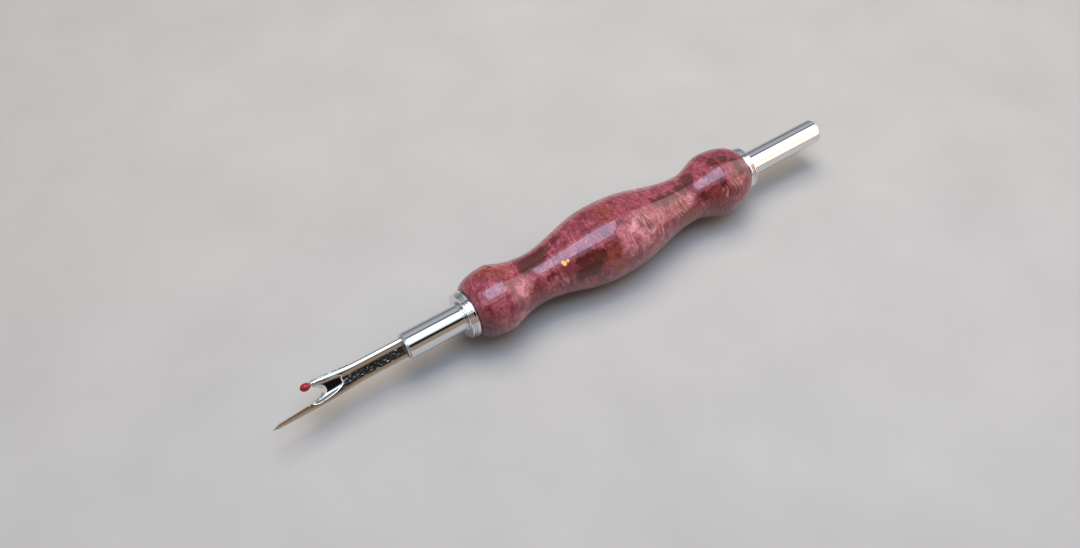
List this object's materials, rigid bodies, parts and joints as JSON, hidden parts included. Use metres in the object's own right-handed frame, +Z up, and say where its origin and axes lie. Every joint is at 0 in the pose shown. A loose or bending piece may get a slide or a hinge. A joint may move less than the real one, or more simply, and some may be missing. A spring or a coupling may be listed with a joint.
{
  "type": "seam ripper",
  "caption": "Double-ended seam ripper with a turned wooden handle, chromed ferrules and a reversible tool holder in each end; a forked blade with a safety bead stands out of the front one.",
  "frame": {"origin": "on the surface the tool lies on, under the middle of its whole length from blade point to rear end", "axes": "+X along the tool axis from the blade to the rear holder, +Z up, with the blade's front face turned 40 degrees from +Z towards -Y"},
  "size_m": [0.1664, 0.0206, 0.0205],
  "materials": {
    "dyed_burl": "dyed rose and maroon burl under a thick high-gloss lacquer",
    "liner_brass": "drawn tube, dull",
    "ferrule_chrome": "polished chrome plate",
    "grip_rubber": "satin",
    "holder_chrome": "polished chrome plate with fine handling marks",
    "plug_metal": "plated, satin",
    "blade_steel": "nickel-plated steel with bright rims, a dark scratched face and ground cutting bevels",
    "bead_plastic": "glossy dipped plastic"
  },
  "bodies": {
    "handle_body": {"handle": "dyed_burl", "liner_tube": "liner_brass", "front_ferrule": "ferrule_chrome", "rear_ferrule": "ferrule_chrome"},
    "front_ring_body": {"front_grip_ring": "grip_rubber"},
    "front_tool_body": {"front_holder": "holder_chrome", "front_plug": "plug_metal", "large_blade": "blade_steel", "large_blade_bead": "bead_plastic"},
    "rear_ring_body": {"rear_grip_ring": "grip_rubber"},
    "rear_tool_body": {"rear_holder": "holder_chrome", "rear_plug": "plug_metal", "small_blade": "blade_steel", "small_blade_bead": "bead_plastic"}
  },
  "joints": [
    {"name": "front_twist", "type": "hinge", "parent": "handle_body", "child": "front_ring_body", "pos_m": [-0.03, 0, 0.01027], "axis": [1, 0, 0], "continuous": true},
    {"name": "front_pull", "type": "slide", "parent": "front_ring_body", "child": "front_tool_body", "axis": [-1, 0, 0], "range_m": [0, 0.028]},
    {"name": "rear_twist", "type": "hinge", "parent": "handle_body", "child": "rear_ring_body", "pos_m": [0.056, 0, 0.01027], "axis": [1, 0, 0], "continuous": true},
    {"name": "rear_pull", "type": "slide", "parent": "rear_ring_body", "child": "rear_tool_body", "axis": [1, 0, 0], "range_m": [0, 0.041]}
  ]
}
